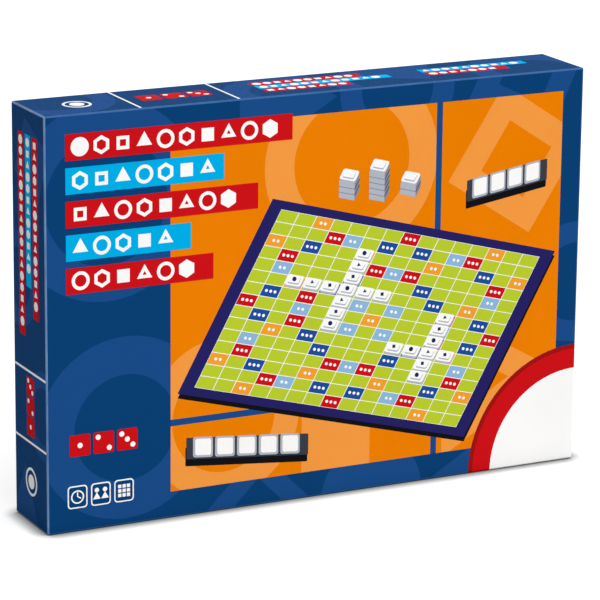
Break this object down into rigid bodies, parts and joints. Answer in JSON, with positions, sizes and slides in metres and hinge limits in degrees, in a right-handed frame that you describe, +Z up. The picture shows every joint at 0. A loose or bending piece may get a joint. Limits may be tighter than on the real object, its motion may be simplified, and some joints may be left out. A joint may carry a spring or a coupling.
{
  "type": "word board game",
  "caption": "Flat word game box standing on its long edge: a paper-wrapped telescoping lid and base around a tray of letter tiles and racks, a folding grid board and a leaflet.",
  "frame": {"origin": "middle of the closed box's footprint, on the surface that it stands on", "axes": "+Z up, -Y out of the lid's printed panel, +X to the viewer's right along the box's long edge"},
  "size_m": [0.37, 0.052, 0.26],
  "materials": {
    "printed_wrap": "satin",
    "plain_wrap": "satin",
    "greyboard": "matte",
    "stay_paper": "matte",
    "board_cover_paper": "matte",
    "board_print_paper": "satin",
    "hinge_cloth": "matte",
    "leaflet_paper": "matte",
    "tray_plastic": "satin",
    "tile_plastic": "satin",
    "rack_plastic": "satin"
  },
  "bodies": {
    "base": {"base_panel_board": "greyboard", "base_top_wall": "greyboard", "base_bottom_wall": "greyboard", "base_left_wall": "greyboard", "base_right_wall": "greyboard", "base_corner_stays": "stay_paper", "base_wrap": "plain_wrap"},
    "lid": {"lid_panel_board": "greyboard", "lid_top_wall": "greyboard", "lid_bottom_wall": "greyboard", "lid_left_wall": "greyboard", "lid_right_wall": "greyboard", "lid_corner_stays": "stay_paper", "lid_wrap": "printed_wrap"},
    "leaflet": {"rules_leaflet": "leaflet_paper"},
    "board_spine": {"board_hinge_tape": "hinge_cloth"},
    "board_front_leaf": {"board_front_core": "greyboard", "board_front_cover": "board_cover_paper", "board_front_print": "board_print_paper"},
    "board_rear_leaf": {"board_rear_core": "greyboard", "board_rear_cover": "board_cover_paper", "board_rear_print": "board_print_paper"},
    "tray": {"insert_tray": "tray_plastic"},
    "tiles": {"letter_tiles_a": "tile_plastic", "letter_tiles_b": "tile_plastic", "letter_tiles_c": "tile_plastic", "letter_tiles_d": "tile_plastic", "letter_tiles_e": "tile_plastic", "letter_tiles_f": "tile_plastic", "letter_tiles_g": "tile_plastic", "letter_tiles_h": "tile_plastic", "letter_tiles_i": "tile_plastic", "letter_tiles_j": "tile_plastic", "letter_tiles_k": "tile_plastic", "letter_tiles_l": "tile_plastic", "letter_tiles_m": "tile_plastic", "letter_tiles_n": "tile_plastic", "letter_tiles_o": "tile_plastic", "letter_tiles_p": "tile_plastic", "letter_tiles_q": "tile_plastic", "letter_tiles_r": "tile_plastic", "letter_tiles_s": "tile_plastic", "letter_tiles_t": "tile_plastic", "letter_tiles_u": "tile_plastic", "letter_tiles_v": "tile_plastic", "letter_tiles_w": "tile_plastic", "letter_tiles_x": "tile_plastic", "letter_tiles_y": "tile_plastic", "letter_tiles_z": "tile_plastic", "blank_tiles": "tile_plastic"},
    "rack_1": {"tile_rack_1": "rack_plastic"},
    "rack_2": {"tile_rack_2": "rack_plastic"},
    "rack_3": {"tile_rack_3": "rack_plastic"},
    "rack_4": {"tile_rack_4": "rack_plastic"}
  },
  "joints": [
    {"name": "lid_lift", "type": "slide", "parent": "base", "child": "lid", "axis": [0, -1, 0], "range_m": [0, 1]},
    {"name": "leaflet_lift", "type": "slide", "parent": "base", "child": "leaflet", "axis": [0, -1, 0], "range_m": [0, 0.931]},
    {"name": "board_lift", "type": "slide", "parent": "base", "child": "board_spine", "axis": [0, -1, -0.008], "range_m": [0, 0.501]},
    {"name": "front_leaf_fold", "type": "hinge", "parent": "board_spine", "child": "board_front_leaf", "pos_m": [0, -0.0195, 0.0069], "axis": [1, 0, 0], "range_deg": [0, 90]},
    {"name": "rear_leaf_fold", "type": "hinge", "parent": "board_spine", "child": "board_rear_leaf", "pos_m": [0, -0.0195, 0.0069], "axis": [-1, 0, 0], "range_deg": [0, 90]},
    {"name": "tray_lift", "type": "slide", "parent": "base", "child": "tray", "axis": [0, -1, 0], "range_m": [0, 0.0601]},
    {"name": "tiles_lift", "type": "slide", "parent": "tray", "child": "tiles", "axis": [0, -1, 0], "range_m": [0, 0.0251]},
    {"name": "rack_1_lift", "type": "slide", "parent": "tray", "child": "rack_1", "axis": [0, -1, 0], "range_m": [0, 0.0401]},
    {"name": "rack_2_lift", "type": "slide", "parent": "tray", "child": "rack_2", "axis": [0, -1, 0], "range_m": [0, 0.0401]},
    {"name": "rack_3_lift", "type": "slide", "parent": "tray", "child": "rack_3", "axis": [0, -1, 0], "range_m": [0, 0.0401]},
    {"name": "rack_4_lift", "type": "slide", "parent": "tray", "child": "rack_4", "axis": [0, -1, 0], "range_m": [0, 0.0401]}
  ],
  "couplings": [
    {"joint": "leaflet_lift", "follows": "lid_lift", "ratio": 0.93},
    {"joint": "board_lift", "follows": "lid_lift", "ratio": 0.5},
    {"joint": "front_leaf_fold", "follows": "lid_lift", "rad_per_m": 1.57},
    {"joint": "rear_leaf_fold", "follows": "lid_lift", "rad_per_m": 1.57},
    {"joint": "tray_lift", "follows": "lid_lift", "ratio": 0.06},
    {"joint": "tiles_lift", "follows": "lid_lift", "ratio": 0.025},
    {"joint": "rack_1_lift", "follows": "lid_lift", "ratio": 0.04},
    {"joint": "rack_2_lift", "follows": "lid_lift", "ratio": 0.04},
    {"joint": "rack_3_lift", "follows": "lid_lift", "ratio": 0.04},
    {"joint": "rack_4_lift", "follows": "lid_lift", "ratio": 0.04}
  ]
}
